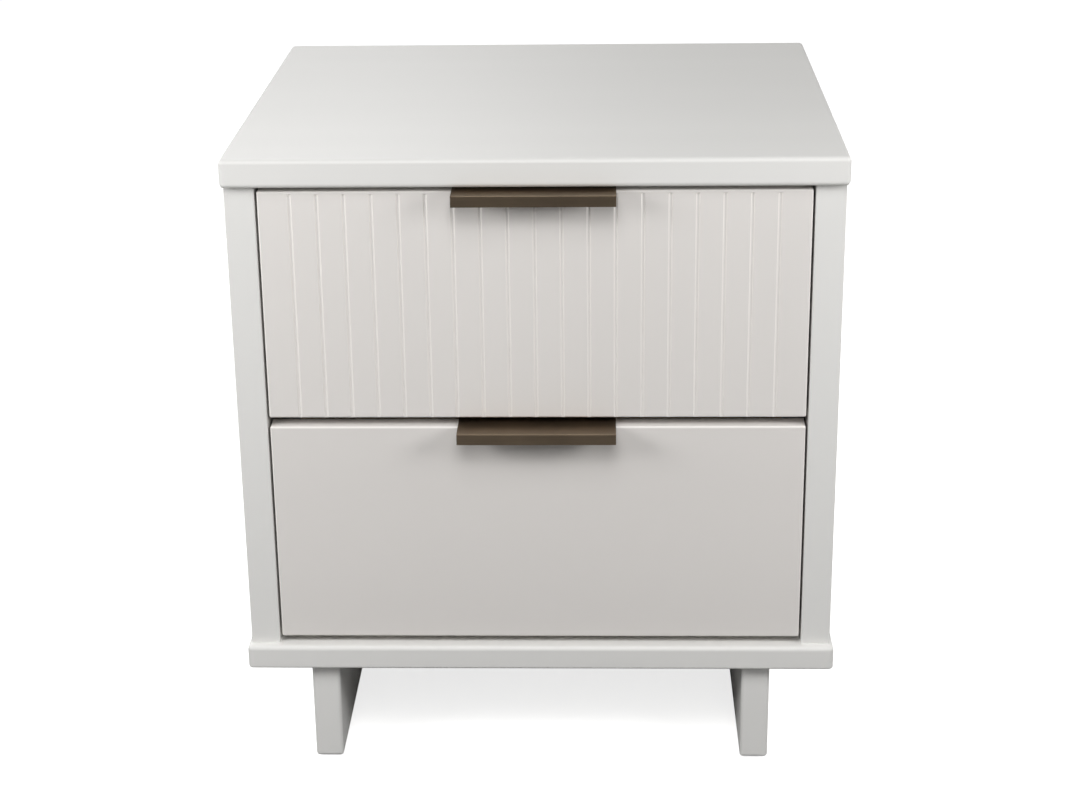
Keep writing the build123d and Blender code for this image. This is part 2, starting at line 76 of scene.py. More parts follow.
def linear(hex_text):
    """An sRGB hex colour, such as #E8E7E3, as the linear values that shaders take."""
    parts = [int(hex_text[i : i + 2], 16) / 255 for i in (1, 3, 5)]
    return tuple(p / 12.92 if p <= 0.04045 else ((p + 0.055) / 1.055) ** 2.4 for p in parts)


def length_property(name, description, millimetres):
    """A length that the sidebar shows in the scene's units."""
    return FloatProperty(
        name=name, description=description, default=millimetres * MM, min=0.0, precision=5, unit="LENGTH"
    )


def power_property(name, description, watts):
    """A lamp's power."""
    return FloatProperty(name=name, description=description, default=watts, unit="POWER")


def colour_property(name, description, hex_text):
    """A colour that the sidebar shows as a swatch."""
    return FloatVectorProperty(
        name=name, description=description, default=linear(hex_text), min=0.0, max=1.0, subtype="COLOR"
    )


class NightstandSizes(bpy.types.PropertyGroup):
    """Roundings and grooves, which the frame's boxes don't give."""

    slab_radius: length_property("Slab edge", "Rounding of the slabs' upper and upright edges", 4.0)
    slab_lower_radius: length_property("Slab lower edge", "Rounding of the slabs' lower edges", 2.5)
    side_radius: length_property("Side edge", "Rounding of the side panels' upright edges", 1.0)
    leg_radius: length_property("Leg edge", "Rounding of the plank legs' edges", 3.0)
    front_radius: length_property("Front edge", "Rounding of the drawer fronts' face edges", 1.8)
    front_rear_radius: length_property("Front rear edge", "Rounding behind the drawer fronts", 1.0)
    groove_count: IntProperty(
        name="Grooves", description="Upright grooves across the upper front", default=19, min=2
    )
    groove_margin: length_property("Groove margin", "From the front's side to the first groove", 26.5)
    groove_radius: length_property("Groove radius", "Radius of a groove's round bottom", 2.0)
    groove_depth: length_property("Groove depth", "How deep a groove is cut", 0.9)
    groove_stop: length_property("Groove stop", "From the front's top to the centre of a groove's end", 4.0)
    groove_lip: length_property("Groove lip", "Rounding of the groove's lips", 0.3)
    pull_sheet: length_property("Pull thickness", "Thickness of the pull's plate", 1.6)
    pull_lip: length_property("Pull lip", "Height of the pull's lip, plate included", 9.4)
    pull_edge: length_property("Pull edge", "Rounding of the pull's long edges", 0.5)


class NightstandFinishes(bpy.types.PropertyGroup):
    """Base colours of the finishes."""

    lacquer: colour_property("Lacquer", "White satin lacquer", "#EDECE9")
    # Set a touch darker and warmer than the boards' lacquer: painted shade on the drawer fronts.
    front_lacquer: colour_property("Front lacquer", "The same lacquer on the drawer fronts", "#EAE6E2")
    bronze: colour_property("Bronze", "Bronze anodised aluminium", "#8A7A67")
    birch: colour_property("Birch", "Drawer-box birch", "#E2C69C")
    birch_dark: colour_property("Birch latewood", "Darker lines in the birch", "#CDA877")
    beech: colour_property("Beech", "Dowels", "#D2A679")
    foil: colour_property("Foil", "White foil on the back board", "#E6E5E0")
    zinc: colour_property("Zinc plate", "Bright zinc plating", "#C9CBCC")
    zinc_cast: colour_property("Zinc casting", "Cam locks and their bolts", "#A9A9A6")
    nylon: colour_property("Nylon", "Glides under the legs", "#5B5955")
    acetal: colour_property("Acetal", "Ball cages", "#2B2B2D")
    floor: colour_property("Floor", "Pale studio floor", "#F4F3F1")


class NightstandStage(bpy.types.PropertyGroup):
    """Where the camera stands and how strong the lamps are."""

    camera_place: FloatVectorProperty(
        name="Camera", description="Where the camera stands", default=(0.0549, -1.9135, 0.9880), unit="LENGTH"
    )
    camera_pitch: FloatProperty(
        name="Pitch", description="How far the camera looks down", default=radians(20.765), subtype="ANGLE"
    )
    camera_yaw: FloatProperty(
        name="Yaw", description="How far it turns to the left", default=radians(1.9475), subtype="ANGLE"
    )
    camera_roll: FloatProperty(
        name="Roll", description="How far it leans over", default=radians(-0.7786), subtype="ANGLE"
    )
    camera_lens: FloatProperty(
        name="Lens", description="Focal length in millimetres on a 36 mm sensor", default=73.36
    )
    left_power: power_property("Left lamp", "Soft lamp at the left", 6.0)
    right_power: power_property("Right lamp", "Soft lamp at the right", 5.5)
    front_power: power_property("Front lamp", "Soft lamp in front", 6.8)
    top_power: power_property("Top lamp", "Soft lamp high in front", 14.0)
    side_power: power_property("Side lamps", "Soft lamp behind each side", 12.0)
    back_power: power_property("Back lamp", "Soft lamp high behind", 18.5)


# ------------------------------------------------------------------ modelling


def make_active(piece):
    """Leave edit mode and make the piece the only selected object."""
    if bpy.context.object and bpy.context.object.mode != "OBJECT":
        bpy.ops.object.mode_set(mode="OBJECT")
    bpy.ops.object.select_all(action="DESELECT")
    piece.select_set(True)
    bpy.context.view_layer.objects.active = piece


def cube_between(name, low, high):
    """A cube primitive between two corners, with its place in its mesh."""
    bpy.ops.object.select_all(action="DESELECT")
    size = [b - a for a, b in zip(low, high)]
    middle = [(a + b) / 2 for a, b in zip(low, high)]
    bpy.ops.mesh.primitive_cube_add(size=1, location=middle, scale=size)
    piece = bpy.context.object
    piece.name = name
    bpy.ops.object.transform_apply(location=True, rotation=True, scale=True)
    return piece


def select_where(piece, kind, test):
    """In edit mode, select just the vertices, edges or faces that pass the test."""
    make_active(piece)
    bpy.ops.object.mode_set(mode="EDIT")
    bpy.ops.mesh.select_mode(type=kind)
    bpy.ops.mesh.select_all(action="DESELECT")
    shape = bmesh.from_edit_mesh(piece.data)
    for item in {"VERT": shape.verts, "EDGE": shape.edges, "FACE": shape.faces}[kind]:
        if test(item):
            item.select_set(True)
    shape.select_flush_mode()
    bmesh.update_edit_mesh(piece.data)


def bevel_where(piece, test, radius, segments):
    """Round the edges that pass the test."""
    select_where(piece, "EDGE", test)
    bpy.ops.mesh.bevel(offset=radius, segments=segments, profile=0.5, affect="EDGES")
    bpy.ops.object.mode_set(mode="OBJECT")


def bisect_at(piece, point, normal):
    """Cut a line of edges right round the piece."""
    select_where(piece, "FACE", lambda face: True)
    bpy.ops.mesh.bisect(plane_co=point, plane_no=normal, use_fill=False)
    bpy.ops.object.mode_set(mode="OBJECT")


def runs_along(edge, axis):
    """Whether an edge is parallel to an axis: 0, 1 or 2."""
    return abs((edge.verts[1].co - edge.verts[0].co).normalized()[axis]) > 0.999


def edge_middle(edge):
    """The middle point of an edge."""
    return (edge.verts[0].co + edge.verts[1].co) / 2


def join(pieces):
    """Join several meshes into the first."""
    make_active(pieces[0])
    for piece in pieces:
        piece.select_set(True)
    bpy.ops.object.join()
    return pieces[0]


def cut(piece, cutters):
    """Take the cutters' shapes out of the piece, and delete them."""
    cutter = join(cutters)
    make_active(piece)
    modifier = piece.modifiers.new("cut", "BOOLEAN")
    modifier.operation = "DIFFERENCE"
    modifier.solver = "EXACT"
    modifier.object = cutter
    bpy.ops.object.modifier_apply(modifier=modifier.name)
    bpy.data.objects.remove(cutter)


def copy_of(piece, name, change):
    """A copy with its own mesh, moved or mirrored by a matrix."""
    twin = piece.copy()
    twin.name = name
    twin.data = piece.data.copy()
    twin.data.transform(change)
    bpy.context.scene.collection.objects.link(twin)
    if change.determinant() < 0:
        select_where(twin, "FACE", lambda face: True)
        bpy.ops.mesh.normals_make_consistent(inside=False)
        bpy.ops.object.mode_set(mode="OBJECT")
    return twin


def mark_rubbed_and_highlit_edges(piece, reach):
    """Store how far each point is up an outer rounding, for the finish's handled edges and, on the drawer
    fronts, its painted highlight on roundings and groove walls.
    """
    corners = [Vector(corner) for corner in piece.bound_box]
    low, high = corners[0], corners[6]
    rub_and_highlight = piece.data.attributes.new("edge_rub", "FLOAT", "POINT")
    for point, value in zip(piece.data.vertices, rub_and_highlight.data):
        gaps = sorted(
            min(point.co[axis] - low[axis], high[axis] - point.co[axis]) for axis in range(3)
        )
        steepness = 1 - max(abs(part) for part in point.normal)
        value.value = min(1.0, steepness / 0.25) if gaps[1] < reach else 0.0


def finish(piece, material, body, replaced, reach=5 * MM, angle=35.0):
    """Smooth the shading, then dress the piece and hang it on its body."""
    mark_rubbed_and_highlit_edges(piece, reach)
    make_active(piece)
    bpy.ops.object.shade_smooth_by_angle(angle=radians(angle))
    modifier = piece.modifiers.new("normals", "WEIGHTED_NORMAL")
    modifier.keep_sharp = True
    modifier.weight = 100
    bpy.ops.object.modifier_apply(modifier=modifier.name)
    piece.data.materials.clear()
    piece.data.materials.append(material)
    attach(piece, body)
    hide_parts(*replaced)


# ------------------------------------------------------------------ finishes


def add_node(tree, kind, inputs=None, **settings):
    """Add a node with its settings, and give each input a value or a link."""
    made = tree.nodes.new(kind)
    for key, value in settings.items():
        setattr(made, key, value)
    for socket, value in (inputs or {}).items():
        if isinstance(value, bpy.types.NodeSocket):
            tree.links.new(value, made.inputs[socket])
        else:
            made.inputs[socket].default_value = value
    return made


def start_material(name, **constants):
    """A material with only its shader, and the shader's constant settings."""
    material = bpy.data.materials.get(name)
    if material:
        return material, None, None
    material = bpy.data.materials.new(name)
    material.use_nodes = True
    shader = material.node_tree.nodes["Principled BSDF"]
    for socket, value in constants.items():
        shader.inputs[socket.replace("_", " ")].default_value = value
    return material, material.node_tree, shader


def blend(tree, factor, first, second):
    """Mix two colours, each a value or a link. The Mix node's colour sockets come after its
    float and vector ones."""
    mix = add_node(
        tree, "ShaderNodeMix", {"Factor": factor, 6: first, 7: second}, data_type="RGBA"
    )
    return mix.outputs[2]


def shade(colour, factor):
    """A colour made lighter or darker, as the four values that a socket takes."""
    return (*(min(1.0, part * factor) for part in colour), 1.0)


def satin_lacquer(name, colour, grain, edge_tone=0.98):
    """Sprayed satin lacquer on solid wood: even and pale, with a faint spray pebble, and the
    grain of the wood just telling through. Rounded edges are rubbed a little glossier. Their
    colour moves to edge_tone: a touch darker as wear by default, and paler as a painted
    highlight on the roundings and grooves of the drawer fronts, where edge_tone is 1.16."""
    material, tree, shader = start_material(name, IOR=1.5)
    if tree is None:
        return material
    place = add_node(tree, "ShaderNodeTexCoord").outputs["Object"]
    stretch = [1.0, 1.0, 1.0]
    stretch[grain] = 0.03
    along = add_node(tree, "ShaderNodeMapping", {"Vector": place, "Scale": stretch}).outputs[0]
    fibre_width, pebble_width, cloud_width = 2.2 * MM, 1.4 * MM, 180 * MM
    fibres = add_node(
        tree, "ShaderNodeTexNoise", {"Vector": along, "Scale": 1 / fibre_width, "Detail": 3.0}
    ).outputs[0]
    pebble = add_node(
        tree, "ShaderNodeTexNoise", {"Vector": place, "Scale": 1 / pebble_width, "Detail": 1.0}
    ).outputs[0]
    clouds = add_node(
        tree, "ShaderNodeTexNoise", {"Vector": along, "Scale": 1 / cloud_width, "Detail": 2.0}
    ).outputs[0]
    rub_and_highlight = add_node(tree, "ShaderNodeAttribute", attribute_name="edge_rub").outputs["Fac"]
    patchy = add_node(
        tree, "ShaderNodeMapRange", {"Value": clouds, "From Min": 0.35, "From Max": 0.65}
    ).outputs[0]
    toned = blend(tree, patchy, shade(colour, 1.0), shade(colour, 0.972))
    # Toward edge_tone on rounded edges: darker wear on the boards, and a painted highlight, paler, on the
    # drawer fronts' roundings and groove walls.
    worn_and_highlit = blend(tree, rub_and_highlight, toned, shade(colour, edge_tone))
    tree.links.new(worn_and_highlit, shader.inputs["Base Color"])
    dull = add_node(
        tree, "ShaderNodeMapRange", {"Value": fibres, "To Min": 0.44, "To Max": 0.52}
    ).outputs[0]
    gloss = add_node(
        tree, "ShaderNodeMath", {0: rub_and_highlight, 1: -0.08, 2: dull}, operation="MULTIPLY_ADD"
    ).outputs[0]
    tree.links.new(gloss, shader.inputs["Roughness"])
    grain_bump = add_node(
        tree, "ShaderNodeBump", {"Height": fibres, "Strength": 0.25, "Distance": 0.03 * MM}
    ).outputs[0]
    spray_bump = add_node(
        tree,
        "ShaderNodeBump",
        {"Height": pebble, "Strength": 0.2, "Distance": 0.02 * MM, "Normal": grain_bump},
    ).outputs[0]
    tree.links.new(spray_bump, shader.inputs["Normal"])
    return material


def bronze_anodised(name, colour):
    """Aluminium brushed along its length and bronze anodised: a dark warm metal with fine
    lengthwise lines that stretch its highlights."""
    material, tree, shader = start_material(name, Metallic=1.0)
    if tree is None:
        return material
    place = add_node(tree, "ShaderNodeTexCoord").outputs["Object"]
    along = add_node(
        tree, "ShaderNodeMapping", {"Vector": place, "Scale": (0.01, 1.0, 1.0)}
    ).outputs[0]
    line_width = 0.5 * MM
    lines = add_node(
        tree, "ShaderNodeTexNoise", {"Vector": along, "Scale": 1 / line_width, "Detail": 4.0}
    ).outputs[0]
    clouds = add_node(tree, "ShaderNodeTexNoise", {"Vector": place, "Scale": 25.0}).outputs[0]
    blended = add_node(
        tree, "ShaderNodeMath", {0: lines, 1: 0.6, 2: clouds}, operation="MULTIPLY_ADD"
    ).outputs[0]
    tone = add_node(
        tree, "ShaderNodeMapRange", {"Value": blended, "From Min": 0.5, "From Max": 1.1}
    ).outputs[0]
    streaked = blend(tree, tone, shade(colour, 0.86), shade(colour, 1.14))
    tree.links.new(streaked, shader.inputs["Base Color"])
    rough = add_node(
        tree, "ShaderNodeMapRange", {"Value": lines, "To Min": 0.36, "To Max": 0.52}
    ).outputs[0]
    tree.links.new(rough, shader.inputs["Roughness"])
    bump = add_node(
        tree, "ShaderNodeBump", {"Height": lines, "Strength": 0.3, "Distance": 0.02 * MM}
    ).outputs[0]
    tree.links.new(bump, shader.inputs["Normal"])
    return material


def planed_wood(name, light, dark, grain, ring_width=9 * MM):
    """Planed and clear-lacquered birch or beech: pale, with soft lines along the grain and short
    fine pores."""
    material, tree, shader = start_material(name, IOR=1.5)
    if tree is None:
        return material
    place = add_node(tree, "ShaderNodeTexCoord").outputs["Object"]
    stretch = [1.0, 1.0, 1.0]
    stretch[grain] = 0.04
    along = add_node(tree, "ShaderNodeMapping", {"Vector": place, "Scale": stretch}).outputs[0]
    rings = add_node(
        tree,
        "ShaderNodeTexNoise",
        {"Vector": along, "Scale": 1 / ring_width, "Detail": 4.0, "Distortion": 0.4},
    ).outputs[0]
    pore_width = 0.7 * MM
    pores = add_node(
        tree, "ShaderNodeTexNoise", {"Vector": along, "Scale": 1 / pore_width, "Detail": 2.0}
    ).outputs[0]
    banded = add_node(
        tree, "ShaderNodeMapRange", {"Value": rings, "From Min": 0.38, "From Max": 0.62}
    ).outputs[0]
    ringed = blend(tree, banded, shade(light, 1.0), shade(dark, 1.0))
    speck = add_node(
        tree,
        "ShaderNodeMapRange",
        {"Value": pores, "From Min": 0.6, "From Max": 0.75, "To Max": 0.35},
    ).outputs[0]
    pored = blend(tree, speck, ringed, shade(dark, 0.7))
    tree.links.new(pored, shader.inputs["Base Color"])
    rough = add_node(
        tree, "ShaderNodeMapRange", {"Value": pores, "To Min": 0.4, "To Max": 0.6}
    ).outputs[0]
    tree.links.new(rough, shader.inputs["Roughness"])
    bump = add_node(
        tree, "ShaderNodeBump", {"Height": pores, "Strength": 0.3, "Distance": 0.05 * MM}
    ).outputs[0]
    tree.links.new(bump, shader.inputs["Normal"])
    return material


def plated_steel(name, colour, roughness=0.34):
    """Rolled steel with bright zinc plating: cool and shiny, with faint drawn lines along its
    length and a slight yellow-blue bloom."""
    material, tree, shader = start_material(name, Metallic=1.0)
    if tree is None:
        return material
    place = add_node(tree, "ShaderNodeTexCoord").outputs["Object"]
    along = add_node(
        tree, "ShaderNodeMapping", {"Vector": place, "Scale": (1.0, 0.02, 1.0)}
    ).outputs[0]
    line_width = 0.6 * MM
    lines = add_node(
        tree, "ShaderNodeTexNoise", {"Vector": along, "Scale": 1 / line_width, "Detail": 3.0}
    ).outputs[0]
    bloom = add_node(tree, "ShaderNodeTexNoise", {"Vector": place, "Scale": 40.0}).outputs[0]
    tint = add_node(
        tree, "ShaderNodeMapRange", {"Value": bloom, "From Min": 0.35, "From Max": 0.65}
    ).outputs[0]
    red, green, blue = colour
    bluish, yellowish = (red * 0.95, green * 0.97, blue, 1.0), (red, green * 0.98, blue * 0.9, 1.0)
    bloomed = blend(tree, tint, bluish, yellowish)
    tree.links.new(bloomed, shader.inputs["Base Color"])
    rough = add_node(
        tree,
        "ShaderNodeMapRange",
        {"Value": lines, "To Min": roughness - 0.06, "To Max": roughness + 0.08},
    ).outputs[0]
    tree.links.new(rough, shader.inputs["Roughness"])
    bump = add_node(
        tree, "ShaderNodeBump", {"Height": lines, "Strength": 0.15, "Distance": 0.02 * MM}
    ).outputs[0]
    tree.links.new(bump, shader.inputs["Normal"])
    return material


def fine_textured(name, colour, roughness, metallic=0.0, speck_width=0.5 * MM):
    """Moulded nylon or acetal, foil, or cast zinc: one colour with the fine, dull texture that
    its mould or press leaves."""
    material, tree, shader = start_material(name, Metallic=metallic)
    if tree is None:
        return material
    place = add_node(tree, "ShaderNodeTexCoord").outputs["Object"]
    specks = add_node(
        tree, "ShaderNodeTexNoise", {"Vector": place, "Scale": 1 / speck_width, "Detail": 2.0}
    ).outputs[0]
    speckled = blend(tree, specks, shade(colour, 0.94), shade(colour, 1.06))
    tree.links.new(speckled, shader.inputs["Base Color"])
    rough = add_node(
        tree,
        "ShaderNodeMapRange",
        {"Value": specks, "To Min": roughness - 0.05, "To Max": roughness + 0.07},
    ).outputs[0]
    tree.links.new(rough, shader.inputs["Roughness"])
    bump = add_node(
        tree, "ShaderNodeBump", {"Height": specks, "Strength": 0.2, "Distance": 0.03 * MM}
    ).outputs[0]
    tree.links.new(bump, shader.inputs["Normal"])
    return material


def studio_floor(name, colour):
    """Matt painted studio floor: nearly white to look at, with soft shadows, and lit a little from
    within, while it throws back only a third of the light. Its glow is weaker near the nightstand, which
    paints shade round it, and rises to full strength further off."""
    material, tree, shader = start_material(name, Roughness=0.9)
    if tree is None:
        return material
    seen = add_node(tree, "ShaderNodeLightPath").outputs["Is Camera Ray"]
    albedo = blend(tree, seen, (0.32, 0.32, 0.32, 1.0), shade(colour, 1.0))
    tree.links.new(albedo, shader.inputs["Base Color"])
    place = add_node(tree, "ShaderNodeTexCoord").outputs["Object"]
    distance = add_node(tree, "ShaderNodeVectorMath", {0: place}, operation="LENGTH").outputs["Value"]
    # Painted shade: the glow is weaker near the nightstand, so the floor reads darker round it.
    whiter = add_node(
        tree,
        "ShaderNodeMapRange",
        {"Value": distance, "From Min": 0.3, "From Max": 2.0, "To Min": 0.75, "To Max": 1.0},
    ).outputs[0]
    glow = add_node(tree, "ShaderNodeMath", {0: seen, 1: whiter}, operation="MULTIPLY").outputs[0]
    shader.inputs["Emission Color"].default_value = (1.0, 1.0, 1.0, 1.0)
    tree.links.new(glow, shader.inputs["Emission Strength"])
    return material


# ------------------------------------------------------------------ pieces


class NIGHTSTAND_OT_slabs(bpy.types.Operator):
    """Model the top and the base, two boards with every edge rounded"""

    bl_idname = "nightstand.slabs"
    bl_label = "Top and base"

    def execute(self, context):
        sizes, finishes = context.scene.nightstand_sizes, context.scene.nightstand_finishes
        lacquer = satin_lacquer("satin_lacquer_x", finishes.lacquer, grain=0)
        for name, node in (("top_board", "top_panel"), ("base_board", "bottom_panel")):
            low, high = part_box(node)
            slab = cube_between(name, low, high)
            bevel_where(slab, lambda edge: edge_middle(edge).z > low.z, sizes.slab_radius, segments=6)
            bevel_where(
                slab,
                lambda edge: all(point.co.z < low.z + TOUCH for point in edge.verts),
                sizes.slab_lower_radius,
                segments=4,
            )
            if node == "bottom_panel":
                cut(slab, self.countersinks(slab))
            finish(slab, lacquer, "cabinet", [node])
        return {"FINISHED"}

    def countersinks(self, slab):
        """Seats for the screws that go down into the legs."""
        top_z = max(point.co.z for point in slab.data.vertices)
        low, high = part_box("leg_screws")
        head_radius = 4.6 * MM
        seats = []
        for x in (low.x + head_radius, high.x - head_radius):
            for y in (low.y + head_radius, (low.y + high.y) / 2, high.y - head_radius):
                bpy.ops.mesh.primitive_cone_add(
                    vertices=32,
                    radius1=0.001 * MM,
                    radius2=head_radius * 1.1,
                    depth=head_radius * 1.1,
                    location=(x, y, top_z - head_radius * 0.5),
                )
                bpy.ops.object.transform_apply(location=True)
                seats.append(bpy.context.object)
        return seats


class NIGHTSTAND_OT_sides(bpy.types.Operator):
    """Model the side panels, with the rebate for the back and the seats of the cam locks"""

    bl_idname = "nightstand.sides"
    bl_label = "Side panels"

    def execute(self, context):
        sizes, finishes = context.scene.nightstand_sizes, context.scene.nightstand_finishes
        lacquer = satin_lacquer("satin_lacquer_z", finishes.lacquer, grain=2)
        low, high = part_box("left_side_panel")
        panel = cube_between("left_side_board", low, high)
        bevel_where(panel, lambda edge: runs_along(edge, 2), sizes.side_radius, segments=4)
        back_low, back_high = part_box("back_panel")
        rebate = cube_between(
            "rebate",
            (back_low.x - 0.5 * MM, back_low.y, low.z - MM),
            (high.x + MM, high.y + MM, high.z + MM),
        )
        cut(panel, [rebate, *self.cam_seats(high.x)])
        right = copy_of(panel, "right_side_board", Matrix.Scale(-1, 4, (1, 0, 0)))
        finish(panel, lacquer, "cabinet", ["left_side_panel"])
        finish(right, lacquer, "cabinet", ["right_side_panel"])
        return {"FINISHED"}

    def cam_seats(self, inner_x):
        """Round seats for the cam locks in the left panel's inner face."""
        low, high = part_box("cam_locks")
        cam_radius = 7.4 * MM
        depth = inner_x - low.x + 0.2 * MM
        seats = []
        for y in (low.y + cam_radius, high.y - cam_radius):
            for z in (low.z + cam_radius, high.z - cam_radius):
                bpy.ops.mesh.primitive_cylinder_add(
                    vertices=48,
                    radius=cam_radius + 0.1 * MM,
                    depth=2 * depth,
                    location=(inner_x, y, z),
                    rotation=(0, radians(90), 0),
                )
                bpy.ops.object.transform_apply(location=True, rotation=True)
                seats.append(bpy.context.object)
        return seats


class NIGHTSTAND_OT_legs(bpy.types.Operator):
    """Model the two plank legs, let in underneath for their glides"""

    bl_idname = "nightstand.legs"
    bl_label = "Plank legs"

    def execute(self, context):
        sizes, finishes = context.scene.nightstand_sizes, context.scene.nightstand_finishes
        lacquer = satin_lacquer("satin_lacquer_y", finishes.lacquer, grain=1)
        low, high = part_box("left_leg")
        leg = cube_between("left_plank_leg", low, high)
        bevel_where(
            leg, lambda edge: edge_middle(edge).z < high.z - MM, sizes.leg_radius, segments=5
        )
        glide_low, glide_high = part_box("leg_glides")
        glide_radius = 8 * MM
        seats = []
        for y in (glide_low.y + glide_radius, glide_high.y - glide_radius):
            bpy.ops.mesh.primitive_cylinder_add(
                vertices=48,
                radius=glide_radius + 0.06 * MM,
                depth=4 * MM,
                location=((low.x + high.x) / 2, y, low.z),
            )
            bpy.ops.object.transform_apply(location=True)
            seats.append(bpy.context.object)
        cut(leg, seats)
        right_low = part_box("right_leg")[0]
        right = copy_of(leg, "right_plank_leg", Matrix.Translation((right_low.x - low.x, 0, 0)))
        finish(leg, lacquer, "cabinet", ["left_leg"])
        finish(right, lacquer, "cabinet", ["right_leg"])
        return {"FINISHED"}


class NIGHTSTAND_OT_fronts(bpy.types.Operator):
    """Model the drawer fronts, and cut the upper one's upright grooves"""

    bl_idname = "nightstand.fronts"
    bl_label = "Drawer fronts"

    def execute(self, context):
        sizes, finishes = context.scene.nightstand_sizes, context.scene.nightstand_finishes
        for level, grain in (("upper", 2), ("lower", 0)):
            # edge_tone 1.16 paints a highlight: the fronts' roundings and groove walls are made paler than
            # the flat.
            lacquer = satin_lacquer(
                f"front_lacquer_{level}", finishes.front_lacquer, grain, edge_tone=1.16
            )
            node = f"{level}_drawer_front"
            low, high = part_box(node)
            front = cube_between(f"{level}_front_board", low, high)
            bevel_where(
                front,
                lambda edge: edge_middle(edge).y < high.y - MM,
                sizes.front_radius,
                segments=5,
            )
            bevel_where(
                front,
                lambda edge: edge_middle(edge).y > high.y - 0.1 * MM,
                sizes.front_rear_radius,
                segments=2,
            )
            if level == "upper":
                cut(front, self.groove_cutters(sizes, low, high))
                bevel_where(front, self.is_lip(sizes, low, high), sizes.groove_lip, segments=3)
            # The reach takes in the grooves, which lie all over the upper front, so their walls carry the
            # painted highlight too.
            finish(front, lacquer, f"{level}_drawer", [node], reach=high.x - low.x)
        return {"FINISHED"}

    def is_lip(self, sizes, low, high):
        """A test for the edges where a groove meets the flat of the face."""
        lowest = low.z + sizes.front_radius - TOUCH

        def test(edge):
            on_face = all(
                abs(point.co.y - low.y) < TOUCH and point.co.z > lowest for point in edge.verts
            )
            return on_face and edge.calc_face_angle(0.0) > radians(20)

        return test

    def groove_cutters(self, sizes, low, high):
        """Ball-nosed cutters, each stopped under the top edge and run out below."""
        first_x = low.x + sizes.groove_margin
        pitch = (high.x - low.x - 2 * sizes.groove_margin) / (sizes.groove_count - 1)
        end_z = high.z - sizes.groove_stop
        bpy.ops.mesh.primitive_uv_sphere_add(
            segments=96,
            ring_count=48,
            radius=sizes.groove_radius,
            location=(first_x, low.y - sizes.groove_radius + sizes.groove_depth, end_z),
        )
        bpy.ops.object.transform_apply(location=True)
        cutter = bpy.context.object
        select_where(cutter, "VERT", lambda point: point.co.z < end_z - TOUCH)
        bpy.ops.transform.translate(value=(0, 0, low.z - end_z - 2 * MM))
        bpy.ops.object.mode_set(mode="OBJECT")
        copies = [
            copy_of(cutter, f"cutter_{place}", Matrix.Translation((place * pitch, 0, 0)))
            for place in range(1, sizes.groove_count)
        ]
        return [cutter, *copies]


class NIGHTSTAND_OT_pulls(bpy.types.Operator):
    """Model the lip pulls: a plate over the front's edge, a lip before it and a flange behind"""

    bl_idname = "nightstand.pulls"
    bl_label = "Lip pulls"

    def execute(self, context):
        sizes, finishes = context.scene.nightstand_sizes, context.scene.nightstand_finishes
        bronze = bronze_anodised("bronze_anodised", finishes.bronze)
        low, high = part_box("upper_pull")
        sheet = sizes.pull_sheet
        pull = cube_between("upper_lip_pull", (low.x, low.y, high.z - sheet), high)
        bisect_at(pull, (0, low.y + sheet, high.z), (0, 1, 0))
        bisect_at(pull, (0, high.y - sheet, high.z), (0, 1, 0))
        drops = ((low.y, sizes.pull_lip), (high.y - sheet, high.z - low.z))
        for start_y, height in drops:
            select_where(pull, "FACE", self.under(start_y, sheet, high.z - sheet))
            bpy.ops.mesh.extrude_region_move(
                TRANSFORM_OT_translate={"value": (0, 0, sheet - height)}
            )
            bpy.ops.object.mode_set(mode="OBJECT")
        bevel_where(pull, lambda edge: self.is_outer(edge, low, high), sizes.pull_edge, segments=3)
        bevel_where(
            pull,
            lambda edge: edge.calc_face_angle(0.0) > radians(60),
            0.12 * MM,
            segments=1,
        )
        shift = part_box("lower_pull")[0].z - low.z
        twin = copy_of(pull, "lower_lip_pull", Matrix.Translation((0, 0, shift)))
        finish(pull, bronze, "upper_drawer", ["upper_pull"], reach=MM)
        finish(twin, bronze, "lower_drawer", ["lower_pull"], reach=MM)
        return {"FINISHED"}

    def under(self, start_y, sheet, z):
        """A test for the faces under the plate, in the strip that starts at start_y."""

        def test(face):
            middle = face.calc_center_median()
            return abs(middle.z - z) < 0.1 * MM and start_y < middle.y < start_y + sheet

        return test

    def is_outer(self, edge, low, high):
        """The two long edges where the plate turns down into the lip and the flange."""
        middle = edge_middle(edge)
        at_bend = abs(middle.y - low.y) < TOUCH or abs(middle.y - high.y) < TOUCH
        return runs_along(edge, 0) and at_bend and abs(middle.z - high.z) < TOUCH


